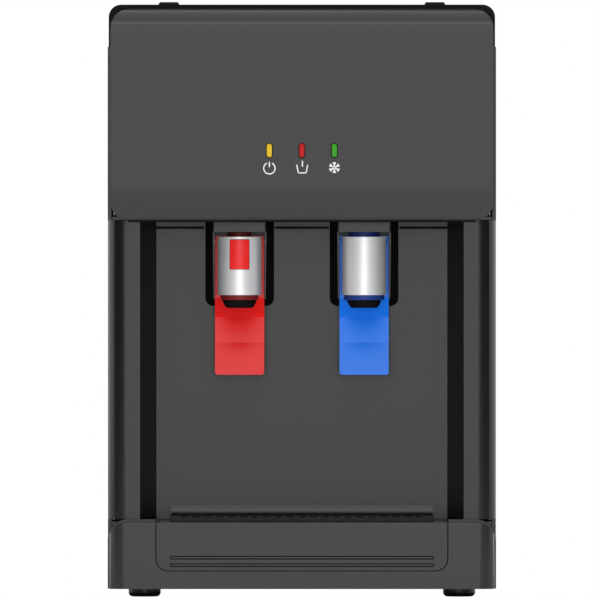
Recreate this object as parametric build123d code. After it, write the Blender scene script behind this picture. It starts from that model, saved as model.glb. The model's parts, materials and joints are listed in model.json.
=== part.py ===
from build123d import *
import os

# Countertop water dispenser with a hot and a cold tap.
# Millimetres. +X is the user's right, -Y is the front, +Z is up.
# The origin is on the worktop, under the middle of the machine's box.

# ---- overall sizes ----
WIDTH = 311.0
DEPTH = 340.0
HALF_W = WIDTH / 2
FRONT = -DEPTH / 2
WALL = 3.0                      # shell thickness of the plastic covers
FOOT_H = 6.6
DECK_Z = 59.9                   # top of the base front and of the drip tray
HEAD_Z = 301.4                  # underside of the head
FASCIA_TOP_Z = 471.1
FASCIA_Y = FRONT + 0.4          # the head's front stands a hair behind the base's
CAP_Z = 440.3                   # seam between the side panels and the top cover
TOP_Z = 474.2
REAR_Y = 138.0                  # outside of the rear panel
PANEL_INNER = HALF_W - WALL

# ---- niche ----
NICHE_WALL_Y = -50.0            # front face of the dispensing wall
NICHE_HALF = 117.0
PILLAR_Y = -140.0               # flat front of the side pillars
PILLAR_INNER = 129.6
PILLAR_R = 14.2
COVE_R = 11.6
COVE_HALF = 105.4

# ---- base and drip tray ----
BASE_BACK_Y = -124.0
BASE_SEAM_Y = -150.0            # seam between the grey front and the black housing
BAY_HALF = 117.2
BAY_FLOOR_Z = 20.7
BAY_BACK_Y = -52.0
TRAY_HALF = 116.4
GRILLE_HALF = 105.4
GRILLE_T = 3.6
GROOVE_DEPTH = 1.1

# ---- taps ----
TAP_X = 50.0
SPOUT_Y = -102.0
SLEEVE_R = 17.6
SLEEVE_T = 1.4
SLEEVE_LOW = 241.3
SLEEVE_TOP = 288.1
HOUSING_LOW = 238.0
SHELF_LOW = 292.0
SHELF_TOP = 303.0
SHELF_FRONT_Y = -122.4
HOUSING_HALF_TOP = 21.7
HOUSING_HALF_LOW = 20.9
CHEEK_INNER = 20.1
BLOCK_FRONT_Y = -58.0
BLOCK_BACK_Y = -44.0
RECESS_HALF = 27.6
RECESS_LOW = 231.9
RECESS_R = 6.4
PIVOT_Y = -79.0
PIVOT_Z = 284.0
PIN_R = 1.5
RUN_GAP = 0.05                  # radial running clearance on pins and rods
LEVER_HALF = 19.8
LEVER_T = 3.0
LEVER_TIP_Z = 176.9
ROD_Z = 255.0
ROD_R = 3.0
ROD_TIP_Y = -74.9               # centre of the rod's round tip
CHAMBER_R = 9.0
CHAMBER_FRONT_Y = -41.0
CHAMBER_BACK_Y = -17.7
BOSS_R = 12.5
BOSS_BACK_Y = -14.0
STUB_Y = -22.0                  # upright water stub on the tap's rear boss
STUB_TOP = 282.0

# ---- lock button ----
WINDOW_HALF = 8.0
WINDOW_LOW = 261.8
WINDOW_TOP = 286.0
BUTTON_GAP = 0.3

# ---- lid ----
LID_HALF = 120.5
LID_FRONT_Y = -127.5
LID_BACK_Y = 58.0
LID_GAP = 0.5
HINGE_Y = 62.0
HINGE_Z = 472.0
KNUCKLE_R = 4.3
KNUCKLE_X0 = 99.2
KNUCKLE_X1 = 115.8
LID_PIN_R = 1.2

# ---- indicators ----
LIGHT_X = 26.0
LIGHT_Z = 357.5
LIGHT_W = 5.0
LIGHT_H = 12.0

# ---- inside ----
HOT_TANK_XY = (-84.0, 45.0)
COLD_TANK_XY = (70.0, 58.0)
TANK_LOW = 200.0
TANK_TOP = 318.0
FILTER_X = 45.0
FILTER_Y = -95.0
FILTER_R = 24.0

# ---- rear connections ----
INLET_X = -110.0
INLET_Z = 60.0
DRAIN_X = -60.0
DRAIN_Z = 40.0
SOCKET_X = 110.0
SOCKET_Z = 45.0
SWITCH_X = 60.0
SWITCH_Z = 45.0
CONDENSER_Y = 165.5


def block(x0, x1, y0, y1, z0, z1):
    """A box between two corners."""
    place = Pos((x0 + x1) / 2, (y0 + y1) / 2, (z0 + z1) / 2)
    return place * Box(abs(x1 - x0), abs(y1 - y0), abs(z1 - z0))


def post(x, y, radius, z0, z1):
    """An upright cylinder."""
    return Pos(x, y, (z0 + z1) / 2) * Cylinder(radius, z1 - z0)


def rod_y(x, z, radius, y0, y1):
    """A cylinder that runs from front to back."""
    return Pos(x, (y0 + y1) / 2, z) * Rot(90, 0, 0) * Cylinder(radius, y1 - y0)


def rod_x(y, z, radius, x0, x1):
    """A cylinder that runs from left to right."""
    return Pos((x0 + x1) / 2, y, z) * Rot(0, 90, 0) * Cylinder(radius, x1 - x0)


def front_slab(outline, y0, y1):
    """A face drawn in the XZ plane, made solid from y0 back to y1."""
    return Pos(0, y1, 0) * extrude(Plane.XZ * outline, y1 - y0)


def side_slab(outline, half):
    """A face drawn in the YZ plane, made solid from -half to +half."""
    return Pos(-half, 0, 0) * extrude(Plane.YZ * outline, 2 * half)


def rounded_front(half, z0, z1, r_top, r_low):
    """A front outline with its own radius on the top and bottom corners."""
    outline = Pos(0, (z0 + z1) / 2) * Rectangle(2 * half, z1 - z0)
    if r_top:
        outline = fillet(outline.vertices().sort_by(Axis.Y)[-2:], r_top)
    if r_low:
        outline = fillet(outline.vertices().sort_by(Axis.Y)[:2], r_low)
    return outline


# ================= base =================
def base_pan():
    pan = block(-152.3, 152.3, BASE_BACK_Y, 134.8, FOOT_H, FOOT_H + 4)
    sink = block(-110, 110, -30, 120, FOOT_H + 2.5, FOOT_H + 4)
    return pan - sink


def bay_cut(half):
    """The space the drip tray slides in, open at the front and the top."""
    tall = rounded_front(half, BAY_FLOOR_Z, 80, 0, 10.4)
    return front_slab(tall, FRONT - 5, BAY_BACK_Y)


def base_housing():
    rim_top = DECK_Z + 2.1
    rim = front_slab(rounded_front(HALF_W, FOOT_H, rim_top, 16, 0), BASE_SEAM_Y, BASE_BACK_Y)
    hollow = front_slab(
        rounded_front(PANEL_INNER, FOOT_H + WALL, rim_top - WALL, 13, 0), BASE_SEAM_Y, BASE_BACK_Y
    )
    deck = block(-152.3, 152.3, BASE_BACK_Y, BAY_BACK_Y + 2.5, DECK_Z - WALL, DECK_Z)
    bay_half = BAY_HALF + 2.5
    bay = block(-bay_half, bay_half, BASE_SEAM_Y, BAY_BACK_Y + 2.5, BAY_FLOOR_Z - 2.5, DECK_Z)
    return rim - hollow + deck + bay - bay_cut(BAY_HALF)


def base_front():
    half = HALF_W - 1.3
    spare = 0.6                     # the outline is this much wider, so its arcs meet the sides at an angle
    outer = block(-half, half, FRONT, BASE_SEAM_Y, FOOT_H, DECK_Z + 1)
    outer = fillet(outer.edges().filter_by(Axis.Z).group_by(Axis.Y)[0], 12)
    outer &= front_slab(rounded_front(half + spare, FOOT_H, DECK_Z, 14 + spare, 0), FRONT - 1, BASE_SEAM_Y)
    inner = front_slab(
        rounded_front(half - WALL, FOOT_H + WALL, DECK_Z - WALL, 11, 0), FRONT + WALL, BASE_SEAM_Y
    )
    inner = fillet(inner.edges().filter_by(Axis.Z).group_by(Axis.Y)[0], 9)
    return outer - inner - bay_cut(BAY_HALF)


def rubber_feet():
    feet = Part()
    for x in (-126, 126):
        for y in (-135, 118):
            foot = post(x, y, 12.85, 0, FOOT_H)
            foot = fillet(foot.edges().group_by(Axis.Z)[0], 3.4)
            feet += foot
    return feet


# ================= cabinet =================
def side_panel(side):
    """Left (-1) or right (+1) panel with its rounded front pillar."""
    panel = block(PANEL_INNER, HALF_W, -124, REAR_Y, FOOT_H, CAP_Z)
    head = block(PANEL_INNER, HALF_W, -145.8, -124, HEAD_Z, CAP_Z)
    pillar = block(PILLAR_INNER, HALF_W, PILLAR_Y, -120, DECK_Z + 2.1, HEAD_Z)
    outer = pillar.edges().filter_by(Axis.Z).sort_by(Axis.Y)[:2].sort_by(Axis.X)[-1]
    pillar = fillet(outer, PILLAR_R)
    room = block(PILLAR_INNER, HALF_W - WALL, PILLAR_Y + WALL, -110, DECK_Z, HEAD_Z + 1)
    corner = room.edges().filter_by(Axis.Z).sort_by(Axis.Y)[:2].sort_by(Axis.X)[-1]
    room = fillet(corner, PILLAR_R - WALL)
    panel = panel + head + (pillar - room)
    for row in range(9):
        z = 90 + row * 11
        panel -= block(PANEL_INNER - 1, HALF_W + 1, 40, 110, z, z + 4)
    if side < 0:
        panel = mirror(panel, Plane.YZ)
    return panel


def rear_panel():
    panel = block(-152.3, 152.3, REAR_Y - WALL, REAR_Y, FOOT_H + 4, CAP_Z)
    for row in range(8):
        z = 112 + row * 9
        for x in (-95, 5):
            panel -= block(x, x + 90, REAR_Y - 5, REAR_Y + 1, z, z + 4)
    panel -= rod_y(INLET_X, INLET_Z, 8.2, REAR_Y - 5, REAR_Y + 1)
    panel -= rod_y(DRAIN_X, DRAIN_Z, 7.2, REAR_Y - 5, REAR_Y + 1)
    panel -= block(SOCKET_X - 14, SOCKET_X + 14, REAR_Y - 5, REAR_Y + 1, SOCKET_Z - 10.5, SOCKET_Z + 10.5)
    panel -= block(SWITCH_X - 21, SWITCH_X + 21, REAR_Y - 5, REAR_Y + 1, SWITCH_Z - 14, SWITCH_Z + 14)
    for x, z in rear_screw_places():
        panel -= rod_y(x, z, 1.7, REAR_Y - 5, REAR_Y + 1)
    return panel


def rear_screw_places():
    return [(x, z) for x in (-143, 143) for z in (25, 160, 295, 428)]


def rear_screws():
    screws = Part()
    for x, z in rear_screw_places():
        head = rod_y(x, z, 3.4, REAR_Y, REAR_Y + 2.2)
        head = fillet(head.edges().group_by(Axis.Y)[-1], 1.0)
        shank = rod_y(x, z, 1.5, REAR_Y - 10, REAR_Y)
        cross = block(x - 1.8, x + 1.8, REAR_Y + 1, REAR_Y + 3, z - 0.4, z + 0.4)
        cross += block(x - 0.4, x + 0.4, REAR_Y + 1, REAR_Y + 3, z - 1.8, z + 1.8)
        screws += head + shank - cross
    return screws


def niche_wall(side):
    """Slanted wall from the pillar back to the dispensing wall."""
    outline = Polyline(
        (PILLAR_INNER, PILLAR_Y + WALL),
        (NICHE_HALF, NICHE_WALL_Y),
        (NICHE_HALF, NICHE_WALL_Y + WALL),
        (NICHE_HALF + 2.6, NICHE_WALL_Y + WALL),
        (PILLAR_INNER + 2.6, PILLAR_Y + WALL),
        close=True,
    )
    low = DECK_Z + 2.1
    wall = Pos(0, 0, low) * extrude(make_face(outline), HEAD_Z - low)
    if side < 0:
        wall = mirror(wall, Plane.YZ)
    return wall


def dispensing_wall():
    """Back of the niche, with a U-shaped recess behind each tap."""
    back = NICHE_WALL_Y + WALL
    wall = block(-NICHE_HALF, NICHE_HALF, NICHE_WALL_Y, back, DECK_Z + 0.3, HEAD_Z)
    corner = block(
        -COVE_HALF, COVE_HALF, NICHE_WALL_Y - COVE_R, NICHE_WALL_Y, DECK_Z + 0.3, DECK_Z + COVE_R
    )
    scoop = rod_x(NICHE_WALL_Y - COVE_R, DECK_Z + COVE_R + 0.6, COVE_R, -COVE_HALF - 1, COVE_HALF + 1)
    wall += corner - scoop
    wall -= block(-NICHE_HALF - 1, NICHE_HALF + 1, NICHE_WALL_Y - 1, NICHE_WALL_Y + 1, 295.1, 296.1)
    for x in (-TAP_X, TAP_X):
        recess = Pos(x, 0) * rounded_front(RECESS_HALF, RECESS_LOW, HEAD_Z + 5, 0, RECESS_R)
        wall -= front_slab(recess, NICHE_WALL_Y - 1, back + 1)
    return wall


def faucet_bracket():
    """Black plate behind the wall that carries both taps."""
    plate = block(-95, 95, BLOCK_BACK_Y, BLOCK_BACK_Y + 2.5, 222, 312)
    for x in (-TAP_X, TAP_X):
        plate -= rod_y(x, ROD_Z, BOSS_R, BLOCK_BACK_Y - 1, BLOCK_BACK_Y + 4)
    return plate


# ================= head =================
def fascia_profile(inset):
    """Side outline of the front cover: rounded top, swept-back lower edge."""
    y0 = FASCIA_Y + inset
    y1 = -140
    spare = 0.6                     # the flat top and bottom trim this much off the rounds
    top = FASCIA_TOP_Z - inset + spare
    low = HEAD_Z + inset - spare
    r = 19.2 - inset
    sweep = Edge.make_tangent_arc(
        Vector(y0, low + 28 - inset), Vector(0, -1), Vector(y0 + 12 - inset / 2, low)
    )
    edges = [
        sweep,
        Edge.make_line((y0 + 12 - inset / 2, low), (y1, low)),
        Edge.make_line((y1, low), (y1, top)),
        Edge.make_line((y1, top), (y0 + r, top)),
        Edge.make_tangent_arc(Vector(y0 + r, top), Vector(-1, 0), Vector(y0, top - r)),
        Edge.make_line((y0, top - r), (y0, low + 28 - inset)),
    ]
    return make_face(Wire(edges))


def head_fascia():
    half = 153.2
    outer = front_slab(rounded_front(half, HEAD_Z, FASCIA_TOP_Z, 16, 15), FASCIA_Y - 2, -146)
    outer = outer & side_slab(fascia_profile(0), half + 4)
    inner = front_slab(
        rounded_front(half - WALL, HEAD_Z + WALL, FASCIA_TOP_Z - WALL, 13, 12), FASCIA_Y, -145
    )
    inner = inner & side_slab(fascia_profile(WALL), half + 4)
    cover = outer - inner
    for x in (-LIGHT_X, 0, LIGHT_X):
        cover -= light_shape(x, 0, FASCIA_Y - 1, FASCIA_Y + WALL + 1)
    return cover


def light_shape(x, margin, y0, y1):
    """A pill-shaped light opening, or its lens when margin is positive."""
    pill = Pos(x, LIGHT_Z) * SlotOverall(LIGHT_H - 2 * margin, LIGHT_W - 2 * margin, rotation=90)
    return front_slab(pill, y0, y1)


def light_lens(x):
    """A clear lens pushed in from behind, with a flange that stops it."""
    front = light_shape(x, 0.2, FASCIA_Y + 0.3, FASCIA_Y + WALL)
    flange = light_shape(x, -1.2, FASCIA_Y + WALL, FASCIA_Y + WALL + 1.5)
    return front + flange


def display_board():
    board = block(-45, 45, -160.5, -158.9, 335, 385)
    for x in (-LIGHT_X, 0, LIGHT_X):
        board += block(x - 1.5, x + 1.5, -163, -160.5, LIGHT_Z - 2.5, LIGHT_Z + 2.5)
    for x in (-38, 38):
        board += block(x - 3, x + 3, -158.9, -154, 338, 382)
    return board


def head_underside():
    """Floor of the head, notched around both taps."""
    plate = block(-152.3, 152.3, -145.8, NICHE_WALL_Y + WALL, HEAD_Z + 0.3, HEAD_Z + 3.3)
    for x in (-TAP_X, TAP_X):
        plate -= block(x - 22.5, x + 22.5, -126, NICHE_WALL_Y + WALL + 1, HEAD_Z, HEAD_Z + 4)
    return plate


def top_cover():
    half = HALF_W - 0.8
    cover = front_slab(rounded_front(half, CAP_Z, TOP_Z, 10, 0), -145.8, REAR_Y)
    rear_top = cover.edges().filter_by(Axis.X).group_by(Axis.Y)[-1].sort_by(Axis.Z)[-1]
    cover = fillet(rear_top, 8)
    inside = front_slab(rounded_front(half - WALL, CAP_Z, TOP_Z - WALL, 7, 0), -142.8, REAR_Y - WALL)
    cover -= inside
    lip = block(-LID_HALF - 4, LID_HALF + 4, LID_FRONT_Y - 4, 57, TOP_Z - 5.5, TOP_Z - WALL)
    cover += lip
    for x in (-KNUCKLE_X0 - 8.3, KNUCKLE_X0 + 8.3):
        cover += block(x - 14, x + 14, 55, 69.5, TOP_Z - 8.5, TOP_Z)
    gap = LID_GAP
    cover -= block(
        -LID_HALF - gap, LID_HALF + gap, LID_FRONT_Y - gap, LID_BACK_Y + 1.2, TOP_Z - WALL, TOP_Z + 5
    )
    cover -= block(-116, 116, LID_FRONT_Y + 4.5, 52, TOP_Z - 10, TOP_Z)
    for side in (-1, 1):
        x0 = side * (KNUCKLE_X0 - 0.6)
        x1 = side * (KNUCKLE_X1 + 0.6)
        cover -= block(x0, x1, 52, HINGE_Y + KNUCKLE_R + 0.8, TOP_Z - 12, TOP_Z + 5)
        cover -= rod_x(HINGE_Y, HINGE_Z, LID_PIN_R, min(x0, x1) - 3, max(x0, x1) + 3)
    return cover


def filter_lid():
    lid = block(-LID_HALF, LID_HALF, LID_FRONT_Y, LID_BACK_Y, TOP_Z - WALL + 0.1, TOP_Z)
    corners = lid.edges().filter_by(Axis.Z).group_by(Axis.Y)[0]
    lid = fillet(corners, 6)
    for x in (-60, 0, 60):
        lid += block(x - 1, x + 1, LID_FRONT_Y + 12, 40, TOP_Z - 7, TOP_Z - WALL + 0.1)
    for side in (-1, 1):
        x0 = min(side * KNUCKLE_X0, side * KNUCKLE_X1)
        knuckle = rod_x(HINGE_Y, HINGE_Z, KNUCKLE_R, x0, x0 + KNUCKLE_X1 - KNUCKLE_X0)
        knuckle = chamfer(knuckle.edges().filter_by(GeomType.CIRCLE), 1.2)
        arm = block(x0 + 1.2, x0 + KNUCKLE_X1 - KNUCKLE_X0 - 1.2, LID_BACK_Y - 1, HINGE_Y, TOP_Z - 2.9, TOP_Z)
        lid += knuckle + arm
    return lid - rod_x(HINGE_Y, HINGE_Z, LID_PIN_R + RUN_GAP, -130, 130)


def lid_hinge_pins():
    pins = Part()
    for side in (-1, 1):
        x0 = min(side * KNUCKLE_X0, side * KNUCKLE_X1) - 3.6
        pins += rod_x(HINGE_Y, HINGE_Z, LID_PIN_R, x0, x0 + KNUCKLE_X1 - KNUCKLE_X0 + 7.2)
    return pins


# ================= taps =================
def tap_housing(x):
    """Grey tap body: a back block, two cheeks and a shelf that holds the spout."""
    taper = Polyline(
        (-HOUSING_HALF_LOW, HOUSING_LOW),
        (HOUSING_HALF_LOW, HOUSING_LOW),
        (HOUSING_HALF_TOP, SHELF_TOP),
        (-HOUSING_HALF_TOP, SHELF_TOP),
        close=True,
    )
    body = front_slab(make_face(taper), -88, BLOCK_BACK_Y)
    shelf = block(-HOUSING_HALF_TOP, HOUSING_HALF_TOP, SHELF_FRONT_Y, -80, SHELF_LOW, SHELF_TOP)
    body += fillet(shelf.edges().filter_by(Axis.Z).group_by(Axis.Y)[0], 1.5)
    body -= block(-CHEEK_INNER, CHEEK_INNER, -90, BLOCK_FRONT_Y, HOUSING_LOW - 1, SHELF_LOW)
    body += rod_y(0, ROD_Z, BOSS_R, BLOCK_BACK_Y, BOSS_BACK_Y)
    body += post(0, STUB_Y, 4, ROD_Z + 11, STUB_TOP)
    body -= rod_y(0, ROD_Z, ROD_R + RUN_GAP, BLOCK_FRONT_Y - 1, BLOCK_BACK_Y)
    body -= rod_y(0, ROD_Z, 5, -54, CHAMBER_FRONT_Y + 1)
    body -= rod_y(0, ROD_Z, CHAMBER_R, CHAMBER_FRONT_Y, CHAMBER_BACK_Y)
    body -= post(0, STUB_Y, 2.5, ROD_Z, STUB_TOP + 1)
    body -= post(0, -48, 3, ROD_Z, 297.5)
    body -= rod_y(0, 297.5, 3, SPOUT_Y, -48)
    body -= post(0, SPOUT_Y, 4, SHELF_LOW - 1, 297.5)
    body -= rod_x(PIVOT_Y, PIVOT_Z, PIN_R, -21.2, 21.2)
    return Pos(x, 0, 0) * body


def tap_sleeve(x, window):
    """Bright metal sleeve around the spout."""
    sleeve = post(0, SPOUT_Y, SLEEVE_R, SLEEVE_LOW, SLEEVE_TOP)
    sleeve -= post(0, SPOUT_Y, SLEEVE_R - SLEEVE_T, SLEEVE_LOW - 1, SLEEVE_TOP + 1)
    if window:
        sleeve -= block(-WINDOW_HALF, WINDOW_HALF, -125, SPOUT_Y, WINDOW_LOW, WINDOW_TOP)
    return Pos(x, 0, 0) * sleeve


def spout(x, collar_r, ring_r, pocket):
    """Coloured water spout, seen as a collar above the sleeve and a ring below it."""
    inner = SLEEVE_R - SLEEVE_T
    body = post(0, SPOUT_Y, 13, SLEEVE_LOW, 286.3)
    body += post(0, SPOUT_Y, inner, 286.3, SLEEVE_TOP)
    body += post(0, SPOUT_Y, inner, SLEEVE_LOW, SLEEVE_LOW + 3)
    body += post(0, SPOUT_Y, collar_r, SLEEVE_TOP, SHELF_LOW)
    ring = post(0, SPOUT_Y, ring_r, 237.1, SLEEVE_LOW)
    body += fillet(ring.edges().group_by(Axis.Z)[0], 1.2)
    if pocket:
        body -= block(-8.4, 8.4, -120, -108, WINDOW_LOW - 0.3, 286.3)
    body -= post(0, SPOUT_Y, 4, 236, SHELF_LOW + 1)
    return Pos(x, 0, 0) * body


def lever_outline():
    """Side outline: an upright arm, a knee that tucks back to a crease, then a blade that comes forward."""
    top = (-82.0, 288.5)
    knee = (-81.0, 238.6)
    crease = (-68.5, 223.1)
    bend = (-73.6, 202.7)
    tip = (-84.0, LEVER_TIP_Z)
    thick = LEVER_T + 0.05
    return Polyline(
        top, knee, crease, bend, tip,
        (tip[0] + thick, tip[1]),
        (bend[0] + thick, bend[1]),
        (crease[0] + thick, crease[1]),
        (knee[0] + thick, knee[1]),
        (top[0] + thick, top[1]),
        close=True,
    )


def lever(x):
    """Paddle that a cup pushes back, hinged on a pin near its top."""
    blade = side_slab(make_face(lever_outline()), LEVER_HALF)
    low = blade.edges().filter_by(Axis.Y).group_by(Axis.Z)[0]
    blade = fillet(low, 2.4)
    blade += rod_x(PIVOT_Y, PIVOT_Z, 3.4, -LEVER_HALF, LEVER_HALF)
    blade -= rod_x(PIVOT_Y, PIVOT_Z, PIN_R + RUN_GAP, -25, 25)
    return Pos(x, 0, 0) * blade


def lever_pins():
    pins = Part()
    for x in (-TAP_X, TAP_X):
        pins += rod_x(PIVOT_Y, PIVOT_Z, PIN_R, x - 21.2, x + 21.2)
    return pins


def valve_rod(x):
    """Rod that the lever pushes back to lift the seal off its seat."""
    rod = rod_y(0, ROD_Z, ROD_R, ROD_TIP_Y, -38)
    rod += Pos(0, ROD_TIP_Y, ROD_Z) * Sphere(ROD_R)
    rod += rod_y(0, ROD_Z, 8.4, CHAMBER_FRONT_Y + 0.3, -36.7)
    return Pos(x, 0, 0) * rod


def coil_y(x, z, y0, y1, radius, wire, turns):
    """A compression spring along Y."""
    pitch = (y1 - y0 - 2 * wire) / turns
    path = Helix(pitch, pitch * turns, radius)
    start = Plane(path @ 0, z_dir=path % 0)
    spring = sweep(start * Circle(wire), path)
    return Pos(x, y1 - wire, z) * Rot(90, 0, 0) * spring


def valve_spring(x):
    return coil_y(x, ROD_Z, -36.6, CHAMBER_BACK_Y, 6, 0.6, 5)


def lock_button():
    """Safety button in the hot tap's window; it goes in about 3 mm."""
    half = WINDOW_HALF - BUTTON_GAP
    front = post(0, SPOUT_Y, SLEEVE_R + 1.2, WINDOW_LOW + BUTTON_GAP, WINDOW_TOP - BUTTON_GAP)
    key = front & block(-half, half, -125, -114, WINDOW_LOW, WINDOW_TOP)
    return Pos(-TAP_X, 0, 0) * key


def lock_spring():
    return coil_y(-TAP_X, 273.9, -113.8, -108.1, 3, 0.4, 4)


# ================= drip tray =================
def drip_tray():
    """Pull-out tray; its front closes the opening in the base."""
    face = front_slab(rounded_front(TRAY_HALF, BAY_FLOOR_Z + 0.7, DECK_Z, 0, 9.6), FRONT, FRONT + 4)
    for z in (28.7 + 3, 28.7 - 3):
        mouth = Plane(origin=(0, FRONT, z), x_dir=(1, 0, 0), z_dir=(0, 1, 0))
        face -= extrude(mouth * SlotOverall(211.8, 3.0), GROOVE_DEPTH, taper=40)
    basin = block(-114, 114, FRONT + 4, -54, 24, DECK_Z)
    basin -= block(-111.5, 111.5, FRONT + 6.5, -56.5, 26.5, DECK_Z - 3)
    basin -= block(-103, 103, FRONT + 9, -66.5, 50, DECK_Z + 1)
    return face + basin


def drip_grille():
    """Lift-out plate with drain slots and a skirt that locates it in the tray."""
    top = DECK_Z + GRILLE_T
    y0 = FRONT + 6
    y1 = -63.5
    plate = block(-GRILLE_HALF, GRILLE_HALF, y0, y1, DECK_Z, top)
    skirt = block(-102.4, 102.4, FRONT + 9.6, -67.1, DECK_Z - 4, DECK_Z)
    skirt -= block(-100.6, 100.6, FRONT + 11.4, -68.9, DECK_Z - 5, DECK_Z)
    for i in range(-10, 11):
        plate -= block(i * 9.4 - 2.2, i * 9.4 + 2.2, FRONT + 16, -74, DECK_Z - 1, top + 1)
    return plate + skirt


# ================= water system =================
def tank(xy, radius):
    """Closed steel tank with an outlet stub on top and two underneath."""
    x, y = xy
    shell = post(x, y, radius, TANK_LOW, TANK_TOP)
    shell = fillet(shell.edges(), 8)
    room = post(x, y, radius - 1.2, TANK_LOW + 1.2, TANK_TOP - 1.2)
    room = fillet(room.edges(), 7)
    shell -= room
    shell += post(x, y, 5, TANK_TOP - 0.6, TANK_TOP + 14)
    return shell - post(x, y, 3.4, TANK_TOP - 5, TANK_TOP + 15)


def insulation(xy, outer_r, inner_r):
    """Foam jacket in the shape of a cup with a lid."""
    x, y = xy
    foam = post(x, y, outer_r, TANK_LOW - 12, TANK_TOP + 10)
    foam -= post(x, y, inner_r, TANK_LOW - 0.2, TANK_TOP + 0.2)
    return foam - post(x, y, 5.2, TANK_TOP, TANK_TOP + 12)


def heating_element():
    """U-shaped immersion heater standing in the hot tank."""
    x, y = HOT_TANK_XY
    legs = post(x - 16, y, 4, TANK_LOW + 1.4, 285) + post(x + 16, y, 4, TANK_LOW + 1.4, 285)
    bend = Pos(x, y, 285) * Rot(90, 0, 0) * Torus(16, 4)
    bend &= block(x - 25, x + 25, y - 10, y + 10, 285, 310)
    flange = post(x, y, 24, TANK_LOW + 1.4, TANK_LOW + 4)
    return legs + bend + flange


def evaporator_coil():
    """Cold refrigerant pipe wound around the cold tank."""
    x, y = COLD_TANK_XY
    path = Helix(14, 6.5 * 14, 55.4)
    start = Plane(path @ 0, z_dir=path % 0)
    return Pos(x, y, 214) * sweep(start * Circle(3), path)


def compressor():
    x = 70
    y = 45
    pot = post(x, y, 58, 26, 158)
    pot = fillet(pot.edges().group_by(Axis.Z)[-1], 28)
    pot = fillet(pot.edges().group_by(Axis.Z)[0], 10)
    pot += post(x, y, 62, 88, 94)
    for dx in (-50, 50):
        for dy in (-50, 50):
            pot += post(x + dx, y + dy, 9, FOOT_H + 4, 26)
    pot += block(x - 59, x + 59, y - 59, y + 59, 26, 29)
    pot += rod_x(y, 120, 4, x - 72, x - 50)
    return pot


def condenser_coil():
    """Black serpentine pipe with upright wires, and the four brackets that clip it to the rear."""
    rows = 12
    pitch = 24
    low = 140
    coil = Part()
    for row in range(rows):
        coil += rod_x(CONDENSER_Y, low + row * pitch, 2.5, -120, 120)
    for row in range(rows - 1):
        side = 1 if row % 2 == 0 else -1
        bend = Pos(side * 120, CONDENSER_Y, low + (row + 0.5) * pitch) * Rot(90, 0, 0) * Torus(pitch / 2, 2.5)
        x0 = min(side * 120, side * 140)
        coil += bend & block(x0, x0 + 20, CONDENSER_Y - 5, CONDENSER_Y + 5, 100, 460)
    for i in range(-9, 10):
        coil += post(i * 12.5, DEPTH / 2 - 1.1, 1.1, low - 5, low + (rows - 1) * pitch + 5)
    brackets = Part()
    for x in (-106.25, 106.25):
        for z in (low + pitch, low + (rows - 2) * pitch):
            clip = block(x - 4, x + 4, REAR_Y, CONDENSER_Y + 1.2, z - 6, z + 6)
            brackets += clip - rod_x(CONDENSER_Y, z, 2.6, x - 5, x + 5)
    return coil + brackets


def control_board():
    board = block(-70, 70, 128, 129.6, 350, 430)
    for x, z, w, h, d in ((-45, 380, 30, 26, 18), (0, 400, 22, 18, 14), (40, 375, 34, 30, 20)):
        board += block(x - w / 2, x + w / 2, 128 - d, 128, z - h / 2, z + h / 2)
    for x in (-64, 64):
        for z in (356, 424):
            board += rod_y(x, z, 3, 129.6, REAR_Y - WALL)
    return board


def solenoid_valve():
    body = block(-16, 16, -15, 15, 372, 396)
    body += post(0, 0, 13, 396, 428)
    body += rod_x(0, 384, 5, -30, 30)
    body += rod_y(0, 384, 4, 15, 22)
    return body


def filter_manifold():
    """Head that both filters plug into from above."""
    head = block(-75, 75, FILTER_Y - 26, FILTER_Y + 26, 308, 328)
    head = fillet(head.edges().filter_by(Axis.Z), 10)
    for x in (-FILTER_X, FILTER_X):
        head -= post(x, FILTER_Y, 10.3, 314, 329)
    head -= rod_x(FILTER_Y, 311, 1.8, -40, 40)
    for x in (-70, 70):
        head += post(x, FILTER_Y, 5, HEAD_Z + 3.3, 308)
    return head


def filter_cartridge(x):
    """Cartridge with a bayonet neck below and a grip bar on top."""
    body = post(x, FILTER_Y, FILTER_R, 328.4, 442)
    body = fillet(body.edges().group_by(Axis.Z)[-1], 8)
    body += post(x, FILTER_Y, 10.0 - 0.05, 314.6, 330)
    grip = block(x - 16, x + 16, FILTER_Y - 3, FILTER_Y + 3, 440, 456)
    grip = fillet(grip.edges().filter_by(Axis.Y).group_by(Axis.Z)[-1], 5)
    return body + grip


def water_tube(points, bends):
    """Plain plastic water tube along a route with round bends."""
    path = FilletPolyline(*points, radius=bends)
    start = Plane(path @ 0, z_dir=path % 0)
    return sweep(start * Circle(3.2), path)


def hot_water_tube():
    """From the hot tank's top stub over and down to the hot tap."""
    x, y = HOT_TANK_XY
    points = ((x, y, TANK_TOP + 14), (x, y, 352), (-TAP_X, STUB_Y, 352), (-TAP_X, STUB_Y, STUB_TOP))
    return water_tube(points, (12, 12))


def cold_water_tube():
    """From the cold tank's top stub over and down to the cold tap."""
    x, y = COLD_TANK_XY
    points = ((x, y, TANK_TOP + 14), (x, y, 352), (TAP_X, STUB_Y, 352), (TAP_X, STUB_Y, STUB_TOP))
    return water_tube(points, (12, 12))


# ================= rear connections =================
def water_inlet():
    """Push-in fitting for a 6.35 mm water line."""
    body = rod_y(INLET_X, INLET_Z, 8, REAR_Y - 14, REAR_Y + 14)
    body += rod_y(INLET_X, INLET_Z, 10.5, REAR_Y, REAR_Y + 3)
    body += rod_y(INLET_X, INLET_Z, 10.5, REAR_Y - 7, REAR_Y - WALL)
    body -= rod_y(INLET_X, INLET_Z, 3.2, REAR_Y - 1, REAR_Y + 15)
    return body - rod_y(INLET_X, INLET_Z, 2.0, REAR_Y - 15, REAR_Y)


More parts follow.
